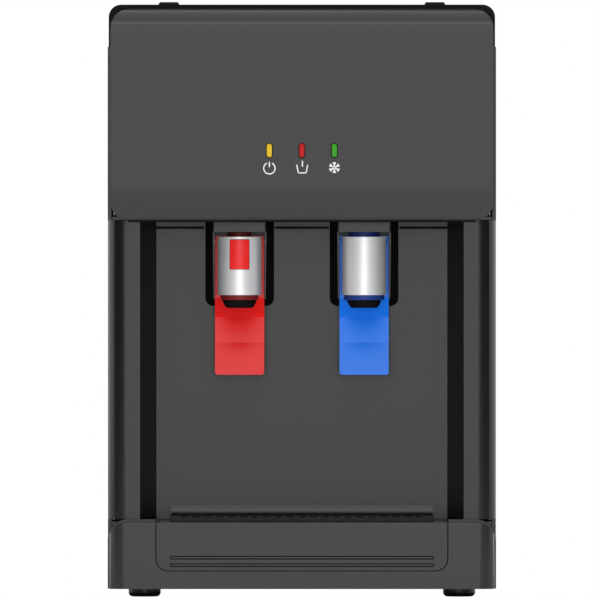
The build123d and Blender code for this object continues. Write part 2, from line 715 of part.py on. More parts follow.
def drain_port():
    body = rod_y(DRAIN_X, DRAIN_Z, 7, REAR_Y - 14, REAR_Y + 14)
    body += rod_y(DRAIN_X, DRAIN_Z, 9.5, REAR_Y, REAR_Y + 3)
    return body - rod_y(DRAIN_X, DRAIN_Z, 4, REAR_Y - 15, REAR_Y + 15)


def drain_cap():
    """Screw cap over the drain port, with ribs to grip."""
    cap = rod_y(DRAIN_X, DRAIN_Z, 10, REAR_Y + 3.4, REAR_Y + 18)
    cap -= rod_y(DRAIN_X, DRAIN_Z, 7.35, REAR_Y + 3, REAR_Y + 15)
    for i in range(12):
        rib = Rot(0, i * 30, 0) * block(9.6, 10.8, REAR_Y + 5, REAR_Y + 17, -0.9, 0.9)
        cap += Pos(DRAIN_X, 0, DRAIN_Z) * rib
    return cap


def power_inlet():
    """Three-pin appliance inlet; the lead is not part of the machine."""
    flange = block(SOCKET_X - 17, SOCKET_X + 17, REAR_Y, REAR_Y + 3, SOCKET_Z - 13, SOCKET_Z + 13)
    flange = fillet(flange.edges().filter_by(Axis.Y), 3)
    body = block(SOCKET_X - 13.8, SOCKET_X + 13.8, REAR_Y - 22, REAR_Y, SOCKET_Z - 10.3, SOCKET_Z + 10.3)
    well = block(SOCKET_X - 12, SOCKET_X + 12, REAR_Y - 16, REAR_Y + 4, SOCKET_Z - 8.3, SOCKET_Z + 8.3)
    inlet = flange + body - well
    for dx, dz in ((-7, -2), (0, 2), (7, -2)):
        x = SOCKET_X + dx
        z = SOCKET_Z + dz
        inlet += block(x - 1, x + 1, REAR_Y - 17, REAR_Y - 2, z - 2.5, z + 2.5)
    return inlet


def switch_frame():
    """Frame that holds the hot and the cold rocker switches."""
    frame = block(SWITCH_X - 24, SWITCH_X + 24, REAR_Y, REAR_Y + 2.5, SWITCH_Z - 17, SWITCH_Z + 17)
    frame = fillet(frame.edges().filter_by(Axis.Y), 3)
    frame += block(SWITCH_X - 20.8, SWITCH_X + 20.8, REAR_Y - 20, REAR_Y, SWITCH_Z - 13.8, SWITCH_Z + 13.8)
    for dx in (-10, 10):
        x = SWITCH_X + dx
        frame -= block(x - 7, x + 7, REAR_Y - 12, REAR_Y + 3, SWITCH_Z - 11.8, SWITCH_Z + 11.8)
        frame -= rod_x(REAR_Y - 3, SWITCH_Z, 1.6, x - 8.5, x + 8.5)
    return frame


def rocker(dx):
    """Rocker that tips 16 degrees about its own trunnions, stored in the on position."""
    x = SWITCH_X + dx
    outline = Polyline(
        (REAR_Y - 6, SWITCH_Z - 7), (REAR_Y + 0.5, SWITCH_Z - 10.6), (REAR_Y + 1.5, SWITCH_Z),
        (REAR_Y + 3.9, SWITCH_Z + 10.2), (REAR_Y - 4.5, SWITCH_Z + 8.6), close=True,
    )
    key = Pos(x - 6.6, 0, 0) * extrude(Plane.YZ * make_face(outline), 13.2)
    return key + rod_x(REAR_Y - 3, SWITCH_Z, 1.55, x - 8.2, x + 8.2)


def all_parts():
    hot = -TAP_X
    cold = TAP_X
    return {
        "base_pan": base_pan(),
        "base_housing": base_housing(),
        "base_front": base_front(),
        "rubber_feet": rubber_feet(),
        "side_panel_left": side_panel(-1),
        "side_panel_right": side_panel(1),
        "rear_panel": rear_panel(),
        "rear_screws": rear_screws(),
        "niche_wall_left": niche_wall(-1),
        "niche_wall_right": niche_wall(1),
        "dispensing_wall": dispensing_wall(),
        "faucet_bracket": faucet_bracket(),
        "head_fascia": head_fascia(),
        "power_light_lens": light_lens(-LIGHT_X),
        "hot_light_lens": light_lens(0),
        "cold_light_lens": light_lens(LIGHT_X),
        "display_board": display_board(),
        "head_underside": head_underside(),
        "top_cover": top_cover(),
        "filter_lid": filter_lid(),
        "lid_hinge_pins": lid_hinge_pins(),
        "hot_tap_housing": tap_housing(hot),
        "cold_tap_housing": tap_housing(cold),
        "hot_tap_sleeve": tap_sleeve(hot, True),
        "cold_tap_sleeve": tap_sleeve(cold, False),
        "hot_spout": spout(hot, 9.15, 15.0, True),
        "cold_spout": spout(cold, 12.0, 16.1, False),
        "hot_lever": lever(hot),
        "cold_lever": lever(cold),
        "lever_pins": lever_pins(),
        "hot_valve_rod": valve_rod(hot),
        "cold_valve_rod": valve_rod(cold),
        "hot_valve_spring": valve_spring(hot),
        "cold_valve_spring": valve_spring(cold),
        "lock_button": lock_button(),
        "lock_spring": lock_spring(),
        "drip_tray": drip_tray(),
        "drip_grille": drip_grille(),
        "hot_tank": tank(HOT_TANK_XY, 44),
        "hot_insulation": insulation(HOT_TANK_XY, 56, 44.2),
        "heating_element": heating_element(),
        "cold_tank": tank(COLD_TANK_XY, 52),
        "evaporator_coil": evaporator_coil(),
        "cold_insulation": insulation(COLD_TANK_XY, 70, 58.8),
        "compressor": compressor(),
        "condenser_coil": condenser_coil(),
        "control_board": control_board(),
        "solenoid_valve": solenoid_valve(),
        "filter_manifold": filter_manifold(),
        "sediment_filter": filter_cartridge(-FILTER_X),
        "carbon_filter": filter_cartridge(FILTER_X),
        "hot_water_tube": hot_water_tube(),
        "cold_water_tube": cold_water_tube(),
        "water_inlet": water_inlet(),
        "drain_port": drain_port(),
        "drain_cap": drain_cap(),
        "power_inlet": power_inlet(),
        "switch_frame": switch_frame(),
        "hot_switch_rocker": rocker(-10),
        "cold_switch_rocker": rocker(10),
    }


os.makedirs("parts", exist_ok=True)
for node, shape in all_parts().items():
    export_step(shape, f"parts/{node}.step")
    print(node, round(shape.volume), len(shape.solids()))
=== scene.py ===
# %% [markdown]
# # A countertop water dispenser, finished in Blender
# The machine's working parts come from its CAD model: sixty pieces in metres, already in place. This
# lesson gives them their finishes, models the small trim that CAD leaves out, and sets up a studio.
# Nothing from the CAD model is moved. The box round it is measured first.

# %% Load the machine
import json
import math
import bpy
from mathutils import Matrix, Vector


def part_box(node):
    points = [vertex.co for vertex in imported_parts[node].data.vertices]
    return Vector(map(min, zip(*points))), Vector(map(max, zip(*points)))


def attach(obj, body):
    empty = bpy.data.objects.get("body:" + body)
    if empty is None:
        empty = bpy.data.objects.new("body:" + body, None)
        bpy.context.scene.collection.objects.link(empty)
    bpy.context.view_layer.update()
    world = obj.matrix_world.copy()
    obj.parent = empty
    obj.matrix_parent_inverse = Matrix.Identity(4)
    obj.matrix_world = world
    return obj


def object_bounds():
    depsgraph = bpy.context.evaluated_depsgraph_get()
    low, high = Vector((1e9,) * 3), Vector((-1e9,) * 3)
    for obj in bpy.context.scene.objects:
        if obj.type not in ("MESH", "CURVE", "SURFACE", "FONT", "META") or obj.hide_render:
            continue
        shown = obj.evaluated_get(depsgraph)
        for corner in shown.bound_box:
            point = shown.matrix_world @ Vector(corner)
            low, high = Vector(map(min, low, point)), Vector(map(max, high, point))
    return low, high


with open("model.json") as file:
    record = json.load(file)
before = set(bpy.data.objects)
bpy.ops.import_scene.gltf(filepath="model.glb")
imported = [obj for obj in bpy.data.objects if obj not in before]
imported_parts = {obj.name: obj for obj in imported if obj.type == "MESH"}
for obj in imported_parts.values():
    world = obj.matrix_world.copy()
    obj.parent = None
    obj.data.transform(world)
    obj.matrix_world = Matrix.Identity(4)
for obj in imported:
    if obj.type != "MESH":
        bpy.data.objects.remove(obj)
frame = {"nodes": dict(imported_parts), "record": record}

MM = 0.001
cad_low, cad_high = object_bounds()
cad_parts = frame["nodes"]
slot_of = {row["node"]: row["material_slot"] for row in frame["record"]["subparts"]}
print("CAD parts:", len(cad_parts), "box mm:", [round(v / MM) for v in cad_high - cad_low])

# %% [markdown]
# ## A recipe for finishes
# Every surface here is moulded, painted, drawn or brushed, so each finish shares one recipe: a colour that
# drifts slightly over the part, a gloss that drifts with it, and a fine relief. The relief is noise, sized
# in grains per metre along each axis, so a brushed metal is only a noise that is stretched. All of it
# reads Object coordinates, which are metres here, so the grain has its true size on every part.

# %% The finish recipe
finishes = {}
PATCHES = 14.0           # patches of drifting colour per metre
FINE_DETAIL = 3.0
PATCH_DETAIL = 4.0
GLOSS_DRIFT = 0.14       # share by which the gloss rises and falls
RELIEF_DEPTH = 0.1 * MM


def finish(name, colour, gloss, grain=(900, 900, 900), relief=0.05, drift=0.12, metal=0.0, **extra):
    """A Principled material with drifting colour and roughness and a fine bump."""
    made = bpy.data.materials.new(name)
    made.use_nodes = True
    tree = made.node_tree
    link = tree.links.new
    shader = tree.nodes["Principled BSDF"]
    shader.inputs["Metallic"].default_value = metal
    for socket, value in extra.items():
        shader.inputs[socket.replace("_", " ")].default_value = value
    place = tree.nodes.new("ShaderNodeTexCoord")
    stretch = tree.nodes.new("ShaderNodeMapping")
    stretch.inputs["Scale"].default_value = grain
    link(place.outputs["Object"], stretch.inputs["Vector"])
    fine = tree.nodes.new("ShaderNodeTexNoise")
    fine.inputs["Scale"].default_value = 1.0
    fine.inputs["Detail"].default_value = FINE_DETAIL
    link(stretch.outputs["Vector"], fine.inputs["Vector"])
    broad = tree.nodes.new("ShaderNodeTexNoise")
    broad.inputs["Scale"].default_value = PATCHES
    broad.inputs["Detail"].default_value = PATCH_DETAIL
    link(place.outputs["Object"], broad.inputs["Vector"])
    tint = tree.nodes.new("ShaderNodeMix")
    tint.data_type = "RGBA"
    # On a colour mix, inputs 6 and 7 are the two colours and output 2 is the result.
    tint.inputs[6].default_value = (*[c * (1 - drift) for c in colour], 1)
    tint.inputs[7].default_value = (*[min(1, c * (1 + drift)) for c in colour], 1)
    link(broad.outputs["Fac"], tint.inputs["Factor"])
    link(tint.outputs[2], shader.inputs["Base Color"])
    sheen = tree.nodes.new("ShaderNodeMapRange")
    sheen.inputs["To Min"].default_value = gloss * (1 - GLOSS_DRIFT)
    sheen.inputs["To Max"].default_value = gloss * (1 + GLOSS_DRIFT)
    link(fine.outputs["Fac"], sheen.inputs["Value"])
    link(sheen.outputs["Result"], shader.inputs["Roughness"])
    bump = tree.nodes.new("ShaderNodeBump")
    bump.inputs["Strength"].default_value = relief
    bump.inputs["Distance"].default_value = RELIEF_DEPTH
    link(fine.outputs["Fac"], bump.inputs["Height"])
    link(bump.outputs["Normal"], shader.inputs["Normal"])
    finishes[name] = made
    return made


# %% [markdown]
# ## The plastics
# The covers are one dark plastic in two textures. The faces that meet the user have a fine satin grain,
# like the skin that spark erosion leaves in a mould, and look grey because they mirror a broad soft light.
# Other covers are the same plastic, smoother and nearly black. The levers are a coloured satin plastic, so
# they keep a softer shine.

# %% Mix the plastics
SATIN_GREY = (0.0095, 0.0095, 0.0098)
NEAR_BLACK = (0.0055, 0.0055, 0.006)
HOT_RED = (0.80, 0.010, 0.008)
COLD_BLUE = (0.006, 0.185, 0.86)
finish("grey_plastic", SATIN_GREY, 0.22, relief=0.03, drift=0.05)
finish("black_plastic", NEAR_BLACK, 0.20, relief=0.03, drift=0.15)
finish("hot_red", HOT_RED, 0.34, relief=0.04, drift=0.05)
finish("cold_blue", COLD_BLUE, 0.34, relief=0.04, drift=0.05)
finish("white_plastic", (0.72, 0.72, 0.70), 0.42, relief=0.05, drift=0.04)
finish("filter_white", (0.80, 0.81, 0.83), 0.28, relief=0.03, drift=0.04)
finish("tube_clear", (0.78, 0.82, 0.85), 0.18, relief=0.02, drift=0.03, Transmission_Weight=0.55)
print("plastics:", len(finishes))

# %% [markdown]
# ## The metals
# The spout sleeves are turned and brushed round their axis: scratches run round the tube, so the noise is
# squeezed along Z and long in X and Y, and the bright reflection of the studio stays a crisp upright band.
# The cabinet's rear and the condenser are powder coated, which leaves a low orange-peel relief.

# %% Mix the metals
ROUND_THE_TUBE = (60, 60, 5200)
SLEEVE = (0.90, 0.90, 0.92)
finish("bright_sleeve", SLEEVE, 0.40, grain=ROUND_THE_TUBE, relief=0.16, drift=0.04, metal=0.62)
finish("stainless", (0.63, 0.63, 0.64), 0.26, grain=(200, 200, 3500), relief=0.10, drift=0.08, metal=1.0)
finish("zinc_steel", (0.60, 0.61, 0.63), 0.32, grain=(1500, 1500, 1500), relief=0.08, drift=0.18, metal=1.0)
finish("heater_metal", (0.42, 0.41, 0.40), 0.38, grain=(800, 800, 300), relief=0.08, drift=0.22, metal=1.0)
finish("copper_pipe", (0.72, 0.35, 0.21), 0.28, grain=(900, 900, 900), relief=0.06, drift=0.20, metal=1.0)
finish("black_steel_paint", (0.034, 0.034, 0.036), 0.42, grain=(420, 420, 420), relief=0.30, drift=0.12)

# %% [markdown]
# ## Rubber, foam, boards and lenses
# The feet are glossy moulded rubber. The tank jackets are expanded foam, which shows round cells, so its
# noise is coarse and deep. The light lenses are tinted plastic lit from behind by a small lamp: a little
# emission of their own colour does that, and the shader's gloss keeps the lens in front of it. The wells
# round the taps, the grille and the niche's cheeks sit in shade, and their finishes paint that shade: they
# are near black with a weaker specular level, so they mirror little of the studio. The cap's finish also
# has a weak specular level.

# %% Mix the rest
finish("rubber_black", (0.008, 0.008, 0.008), 0.22, grain=(700, 700, 700), relief=0.06, drift=0.2)
# Near black with little specular. On the bracket in the tap wells, the strip under the cover and the
# nozzles it is painted shade; on the light bezels and the wall gap it is their own black.
finish("black_and_painted_shade", (0.003, 0.003, 0.003), 0.7, relief=0.04, drift=0.1, Specular_IOR_Level=0.1)
# Painted shade: the grille and the niche's cheeks are the black plastic with a weaker specular level, so
# they look as dark as their shade in the niche.
finish("grille_painted_shade", (0.006, 0.006, 0.006), 0.30, relief=0.05, drift=0.1, Specular_IOR_Level=0.16)
finish("cheek_painted_shade", (0.005, 0.005, 0.005), 0.30, relief=0.04, drift=0.1, Specular_IOR_Level=0.22)
finish("cap_black", (0.005, 0.005, 0.005), 0.34, relief=0.05, drift=0.1, Specular_IOR_Level=0.07)
# Painted shade: darker copies of the lever colours for the spout rings, which lie in the shade under the
# tap sleeves.
finish("hot_red_painted_shade", (0.16, 0.010, 0.012), 0.4, relief=0.04, drift=0.06, Specular_IOR_Level=0.3)
finish("cold_blue_painted_shade", (0.010, 0.036, 0.20), 0.4, relief=0.04, drift=0.06, Specular_IOR_Level=0.3)
finish("valve_black", (0.02, 0.02, 0.02), 0.5, grain=(900, 900, 900), relief=0.08, drift=0.2)
finish("foam_jacket", (0.70, 0.68, 0.62), 0.85, grain=(260, 260, 260), relief=0.9, drift=0.08)
finish("board_green", (0.015, 0.120, 0.050), 0.36, grain=(500, 500, 500), relief=0.10, drift=0.10)
LAMP_GLOW = 0.08
lamp_tints = {
    "lens_amber": (0.66, 0.44, 0.016),
    "lens_red": (0.44, 0.003, 0.003),
    "lens_green": (0.034, 0.300, 0.012),
}
for lens, tint in lamp_tints.items():
    glow = dict(Emission_Color=(*tint, 1), Emission_Strength=LAMP_GLOW, Specular_IOR_Level=0.15)
    finish(lens, tint, 0.25, relief=0.02, drift=0.10, **glow)
finish("white_print", (0.86, 0.86, 0.86), 0.45, relief=0.04, drift=0.02)
ALONG_THE_PLATE = (300, 4000, 4000)
LABEL = (0.50, 0.50, 0.52)
finish("label_silver", LABEL, 0.35, grain=ALONG_THE_PLATE, relief=0.05, drift=0.04, metal=0.6)
print("finishes:", len(finishes))

# %% [markdown]
# ## Dress the CAD parts
# A real moulding has no knife edges. Each CAD part gets a Weld modifier, which joins its loose triangles,
# and a Bevel modifier that rounds only real edges: faces that meet at a shallow angle belong to a curve.
# The rounding is small, because it must not change the size of anything that fits. Weighted normals then
# keep the flat faces flat beside their rounded edges. Parts that are all curve, such as coils and tubes,
# stay as they are, and small or thin ones get a smaller round.

# %% Round the edges and paint
COILED = ("hot_valve_spring", "cold_valve_spring", "lock_spring", "evaporator_coil", "condenser_coil")
TUBES = ("hot_water_tube", "cold_water_tube")
SMALL = ("rear_screws", "lid_hinge_pins", "lever_pins", "control_board", "display_board", "power_inlet")
THIN = ("hot_tap_sleeve", "cold_tap_sleeve", "power_light_lens", "hot_light_lens", "cold_light_lens")
USUAL_ROUND = 0.5 * MM
ROUND = {"rubber_feet": 0.6 * MM, "head_fascia": 0.2 * MM}
ROUND.update({name: 0 for name in COILED + TUBES})
ROUND.update({name: 0.2 * MM for name in SMALL})
ROUND.update({name: 0.25 * MM for name in THIN})
SAME_POINT = 0.002 * MM
CURVE_LIMIT = math.radians(38)
FLAT_FACE_WEIGHT = 60

# Parts whose finish isn't their slot's usual one.
SPECIAL = {
    # The bracket in the tap wells is made near black: painted shade in the wells.
    "faucet_bracket": "black_and_painted_shade",
    # The grille's weaker specular level is painted shade.
    "drip_grille": "grille_painted_shade",
    "top_cover": "cap_black",
    "filter_lid": "cap_black",
    # The niche's cheeks get a weaker specular level: painted shade.
    "niche_wall_left": "cheek_painted_shade",
    "niche_wall_right": "cheek_painted_shade",
    # The spout rings get the darker copies of the lever colours: painted shade under the sleeves.
    "hot_spout": "hot_red_painted_shade",
    "cold_spout": "cold_blue_painted_shade",
}


def dress(name):
    """Paints a CAD part with its slot's finish and rounds its edges."""
    part = cad_parts[name]
    part.data.materials.clear()
    part.data.materials.append(finishes[SPECIAL.get(name, slot_of[name])])
    weld = part.modifiers.new("weld", "WELD")
    weld.merge_threshold = SAME_POINT
    width = ROUND.get(name, USUAL_ROUND)
    if width:
        bevel = part.modifiers.new("edges", "BEVEL")
        bevel.width = width
        bevel.segments = 2
        bevel.limit_method = "ANGLE"
        bevel.angle_limit = CURVE_LIMIT
        bevel.use_clamp_overlap = True
        even = part.modifiers.new("flat_stays_flat", "WEIGHTED_NORMAL")
        even.keep_sharp = True
        even.weight = FLAT_FACE_WEIGHT


bpy.ops.object.select_all(action="DESELECT")
for name in cad_parts:
    dress(name)
print("dressed", len(cad_parts), "parts")

# %% [markdown]
# ## Modelling helpers
# Each new piece starts as a primitive of its own size, is shaped in edit mode, and is finished with a
# bevel. These helpers hold the steps that every piece shares: clearing the selection first, because an
# operator acts on all that is selected, picking faces by where they point, and handing the piece over.

# %% Helpers
FACING = 0.9             # the least product of a normal with the way that its face should point
EDGE_LIMIT = math.radians(40)
SMOOTH_LIMIT = math.radians(35)


def start_clean():
    """Object mode, nothing selected."""
    if bpy.context.object and bpy.context.object.mode != "OBJECT":
        bpy.ops.object.mode_set(mode="OBJECT")
    bpy.ops.object.select_all(action="DESELECT")


def pick_faces(piece, wanted):
    """Selects only the faces for which wanted(centre, normal) is true, and enters edit mode."""
    bpy.ops.object.mode_set(mode="EDIT")
    bpy.ops.mesh.select_mode(type="FACE")
    bpy.ops.mesh.select_all(action="DESELECT")
    bpy.ops.object.mode_set(mode="OBJECT")
    for face in piece.data.polygons:
        face.select = wanted(face.center, face.normal)
    bpy.ops.object.mode_set(mode="EDIT")


def box_piece(low, high):
    """A block between two corners, its place applied to its mesh."""
    start_clean()
    low, high = Vector(low), Vector(high)
    bpy.ops.mesh.primitive_cube_add(size=1, location=(low + high) / 2)
    piece = bpy.context.object
    piece.scale = high - low
    bpy.ops.object.transform_apply(location=True, rotation=True, scale=True)
    return piece


def soften(piece, width, segments=2):
    """A bevel modifier, applied, and smooth shading that keeps real edges."""
    start_clean()
    piece.select_set(True)
    bpy.context.view_layer.objects.active = piece
    bevel = piece.modifiers.new("soften", "BEVEL")
    bevel.width = width
    bevel.segments = segments
    bevel.limit_method = "ANGLE"
    bevel.angle_limit = EDGE_LIMIT
    bpy.ops.object.modifier_apply(modifier="soften")
    bpy.ops.object.shade_smooth_by_angle(angle=SMOOTH_LIMIT)


def join_up(parts):
    """Joins several meshes into the first one."""
    start_clean()
    for part in parts:
        part.select_set(True)
    bpy.context.view_layer.objects.active = parts[0]
    bpy.ops.object.join()
    return bpy.context.object


def hand_over(piece, name, body, slot, finish_name=None):
    """Names a finished piece, paints it and fixes it to its CAD body."""
    piece.name = name
    piece.data.name = name
    piece.data.materials.clear()
    piece.data.materials.append(finishes[finish_name or slot])
    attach(piece, body)
    print(name, len(piece.data.polygons), "faces")
    return piece


# %% [markdown]
# ## The printed symbols
# Three small white symbols are pad-printed under the lights: a power ring, a steaming cup and a snowflake.
# Ink stands a few hundredths of a millimetre proud, so each stroke is a thin slab on the fascia. A straight
# stroke is a block turned to its angle. The ring is one short stroke whose end face is spun round.

# %% Strokes
fascia_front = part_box("head_fascia")[0].y
PRINT_OUT = 0.10 * MM
PRINT_IN = 0.05 * MM
STROKE = 0.88 * MM


def stroke(start, end, wide=STROKE, wide_end=None):
    """A printed stroke from start to end, both (x, z); it can flare towards its end."""
    start, end = Vector((start[0], 0, start[1])), Vector((end[0], 0, end[1]))
    run = end - start
    start_clean()
    bpy.ops.mesh.primitive_cube_add(size=1, location=(0, 0, 0))
    piece = bpy.context.object
    piece.scale = (wide, PRINT_OUT + PRINT_IN, run.length)
    bpy.ops.object.transform_apply(location=False, rotation=False, scale=True)
    if wide_end:
        pick_faces(piece, lambda centre, normal: normal.z > FACING)
        bpy.ops.transform.resize(value=(wide_end / wide, 1, 1))
        bpy.ops.object.mode_set(mode="OBJECT")
    middle_y = fascia_front + (PRINT_IN - PRINT_OUT) / 2
    piece.rotation_euler = (0, math.atan2(run.x, run.z), 0)
    piece.location = (start + end) / 2 + Vector((0, middle_y, 0))
    bpy.ops.object.transform_apply(location=True, rotation=True, scale=True)
    return piece


# %% Power symbol
LIGHT_X = 26 * MM              # the outer lights stand this far to each side of the middle one
SYMBOL_Z = 343.3 * MM
RING_R = 4.55 * MM
RING_GAP = math.radians(28)    # half of the ring's opening
RING_STEPS = 40
SEED = 0.1 * MM                # length of the stroke that the spin starts from
BAR_FOOT, BAR_TOP = 0.9 * MM, 5.2 * MM
INK_EDGE = 0.03 * MM


def power_symbol(x, z):
    """A ring that is open at the top, with an upright stroke in the gap."""
    first = Vector((x + RING_R * math.sin(RING_GAP), 0, z + RING_R * math.cos(RING_GAP)))
    onwards = Vector((math.cos(RING_GAP), 0, -math.sin(RING_GAP)))
    second = first + onwards * SEED
    ring = stroke((first.x, first.z), (second.x, second.z))
    pick_faces(ring, lambda centre, normal: normal.dot(onwards) > FACING)
    bpy.ops.mesh.spin(
        steps=RING_STEPS, angle=-2 * (math.pi - RING_GAP) + SEED / RING_R,
        center=(x, fascia_front, z), axis=(0, 1, 0),
    )
    bpy.ops.object.mode_set(mode="OBJECT")
    bar = stroke((x, z + BAR_FOOT), (x, z + BAR_TOP))
    return join_up([ring, bar])


symbol = power_symbol(-LIGHT_X, SYMBOL_Z)
soften(symbol, INK_EDGE)
hand_over(symbol, "power_symbol", "cabinet", "white_plastic", "white_print")

# %% Cup symbol
CUP = ((-4.1, 2.9), (-2.8, -3.7), (3.4, -3.7), (4.7, 2.9))       # mm from the symbol's centre
STEAM = ((0.1, 5.9), (0.8, 4.4), (0.1, 3.0), (0.6, 1.3))
STEAM_WIDE = 0.9 * MM


def chain(points, wide=STROKE):
    """Strokes end to end through several points."""
    placed = [(x * MM, SYMBOL_Z + z * MM) for x, z in points]
    return [stroke(a, b, wide) for a, b in zip(placed, placed[1:])]


symbol = join_up(chain(CUP) + chain(STEAM, STEAM_WIDE))
soften(symbol, INK_EDGE)
hand_over(symbol, "cup_symbol", "cabinet", "white_plastic", "white_print")

# %% Snowflake symbol
ARMS = 6
ARM = 4.25 * MM
STEM_END, TIP_START = 0.55, 0.5                     # shares of an arm
STEM_WIDTHS = (0.95 * MM, 1.1 * MM)                 # at the centre and further out
TIP_WIDTHS = (1.0 * MM, 3.1 * MM)
centre = Vector((LIGHT_X, SYMBOL_Z + 0.5 * MM))
flake = []
for k in range(ARMS):
    turn = 2 * math.pi * k / ARMS
    away = Vector((math.sin(turn), math.cos(turn))) * ARM
    flake.append(stroke(centre, centre + away * STEM_END, *STEM_WIDTHS))
    flake.append(stroke(centre + away * TIP_START, centre + away, *TIP_WIDTHS))
symbol = join_up(flake)
soften(symbol, INK_EDGE)
hand_over(symbol, "snowflake_symbol", "cabinet", "white_plastic", "white_print")

# %% [markdown]
# ## Light bezels
# Each light sits in a thin black pill-shaped rim, which makes it read as a separate lamp. The rim starts as
# a flat disc, which becomes a pill when its upper half moves up and its lower half down. An inset marks the
# rim's width, the middle is deleted, and a Solidify modifier gives the rim its depth.

# %% Bezels
BEZEL_OUT = (5.7 * MM, 12.4 * MM)       # width and height over the rim
BEZEL_WALL = 0.75 * MM
BEZEL_DEPTH = 0.45 * MM
BEZEL_FRONT = fascia_front - 0.2 * MM
LIGHT_Z = 357.5 * MM
ON_THE_MIDDLE = 0.01 * MM
BEZEL_EDGE = 0.06 * MM
print("bezel front mm:", round(BEZEL_FRONT / MM, 2))


def bezel(x, z):
    """A pill-shaped rim around one light."""
    start_clean()
    radius = BEZEL_OUT[0] / 2
    bpy.ops.mesh.primitive_circle_add(
        vertices=32, radius=radius, fill_type="NGON", location=(x, BEZEL_FRONT, z),
        rotation=(math.radians(90), 0, 0),
    )
    piece = bpy.context.object
    bpy.ops.object.transform_apply(location=True, rotation=True, scale=True)
    for side in (-1, 1):
        bpy.ops.object.mode_set(mode="EDIT")
        bpy.ops.mesh.select_mode(type="VERT")
        bpy.ops.mesh.select_all(action="DESELECT")
        bpy.ops.object.mode_set(mode="OBJECT")
        for corner in piece.data.vertices:
            corner.select = side * (corner.co.z - z) > ON_THE_MIDDLE
        bpy.ops.object.mode_set(mode="EDIT")
        bpy.ops.transform.translate(value=(0, 0, side * (BEZEL_OUT[1] / 2 - radius)))
        bpy.ops.object.mode_set(mode="OBJECT")
    pick_faces(piece, lambda centre, normal: True)
    bpy.ops.mesh.inset(thickness=BEZEL_WALL)
    bpy.ops.mesh.delete(type="FACE")
    bpy.ops.object.mode_set(mode="OBJECT")
    wall = piece.modifiers.new("wall", "SOLIDIFY")
    wall.thickness = BEZEL_DEPTH
    wall.offset = -1
    bpy.ops.object.modifier_apply(modifier="wall")
    soften(piece, BEZEL_EDGE)
    return piece


for name, x in (("power", -LIGHT_X), ("hot", 0), ("cold", LIGHT_X)):
    hand_over(bezel(x, LIGHT_Z), f"{name}_light_bezel", "cabinet", "black_plastic", "black_and_painted_shade")

# %% [markdown]
# ## Nozzle inserts
# Water leaves each spout through a short black nozzle inside its coloured ring. It is wide and near black,
# and partly painted shade: it also stands for the shade under the sleeve. A disc is extruded down and its
# foot is narrowed, which gives the taper. The foot is inset and extruded back up, which gives the bore,
# and a wide bevel rounds the lip.

# %% Nozzles
NOZZLE_OUTER = 14.2 * MM
NOZZLE_LIP = 11.0 * MM
NOZZLE_BORE = 6.0 * MM
NOZZLE_IN = 0.2 * MM         # hidden inside the spout
NOZZLE_OUT = 6.2 * MM        # hanging below it
BORE_SHARE = 0.8             # the bore's depth as a share of the nozzle's length
LIP_ROUND = 1.8 * MM
LIP_STEPS = 5


def nozzle(spout):
    """A tapered black tube under one spout."""
    low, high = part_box(spout)
    x, y = (low.x + high.x) / 2, (low.y + high.y) / 2
    top, bottom = low.z + NOZZLE_IN, low.z - NOZZLE_OUT
    narrowed = NOZZLE_LIP / NOZZLE_OUTER
    start_clean()
    bpy.ops.mesh.primitive_circle_add(
        vertices=48, radius=NOZZLE_OUTER, fill_type="NGON", location=(x, y, top)
    )
    piece = bpy.context.object
    bpy.ops.object.transform_apply(location=True, rotation=True, scale=True)
    pick_faces(piece, lambda centre, normal: True)
    bpy.ops.mesh.extrude_region_move(TRANSFORM_OT_translate={"value": (0, 0, bottom - top)})
    bpy.ops.transform.resize(value=(narrowed, narrowed, 1), center_override=(x, y, bottom))
    bpy.ops.mesh.inset(thickness=NOZZLE_LIP - NOZZLE_BORE)
    bore_deep = (top - bottom) * BORE_SHARE
    bpy.ops.mesh.extrude_region_move(TRANSFORM_OT_translate={"value": (0, 0, bore_deep)})
    bpy.ops.mesh.select_all(action="SELECT")
    bpy.ops.mesh.normals_make_consistent(inside=False)
    bpy.ops.object.mode_set(mode="OBJECT")
    return piece


for side in ("hot", "cold"):
    piece = nozzle(f"{side}_spout")
    soften(piece, LIP_ROUND, LIP_STEPS)
    # Near-black finish: the nozzle's own black, and painted shade under the sleeve.
    hand_over(piece, f"{side}_nozzle", "cabinet", "valve_black", "black_and_painted_shade")

# %% [markdown]
# ## Dark seams and a painted shadow
# Two fine black lines are added. The strip under the cover's lower edge is painted shadow: a black bead
# where the cover casts its shade. The gap in the niche wall just below it is a seam, where the wall's panel
# ends. The gap is broken where the two taps stand.

# %% Seams
BEAD_EDGE = 0.05 * MM


def bead(name, spans, front, back, low, high):
    """Flat black beads side by side, joined into one piece; spans are pairs of x in millimetres."""
    made = [box_piece((a * MM, front, low), (b * MM, back, high)) for a, b in spans]
    piece = join_up(made)
    soften(piece, BEAD_EDGE)
    return hand_over(piece, name, "cabinet", "rubber_black", "black_and_painted_shade")


cover_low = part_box("head_fascia")[0].z
cover_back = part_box("head_fascia")[1].y
# Painted shadow: a black bead under the cover's lower edge, where the cover casts its shade.
COVER_SHADOW = [(-139, 139)]
COVER_SHADOW_Y = (cover_back - 1.6 * MM, cover_back - 0.2 * MM)
COVER_SHADOW_Z = (cover_low - 1.3 * MM, cover_low + 0.2 * MM)
bead("painted_cover_shadow", COVER_SHADOW, *COVER_SHADOW_Y, *COVER_SHADOW_Z)
wall_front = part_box("dispensing_wall")[0].y
PANEL_ENDS = [(-116.8, -78.5), (-21.5, 21.5), (78.5, 116.8)]
GAP_Y = (wall_front - 0.12 * MM, wall_front + 0.12 * MM)
GAP_Z = (294.0 * MM, 295.6 * MM)
bead("wall_gap", PANEL_ENDS, *GAP_Y, *GAP_Z)

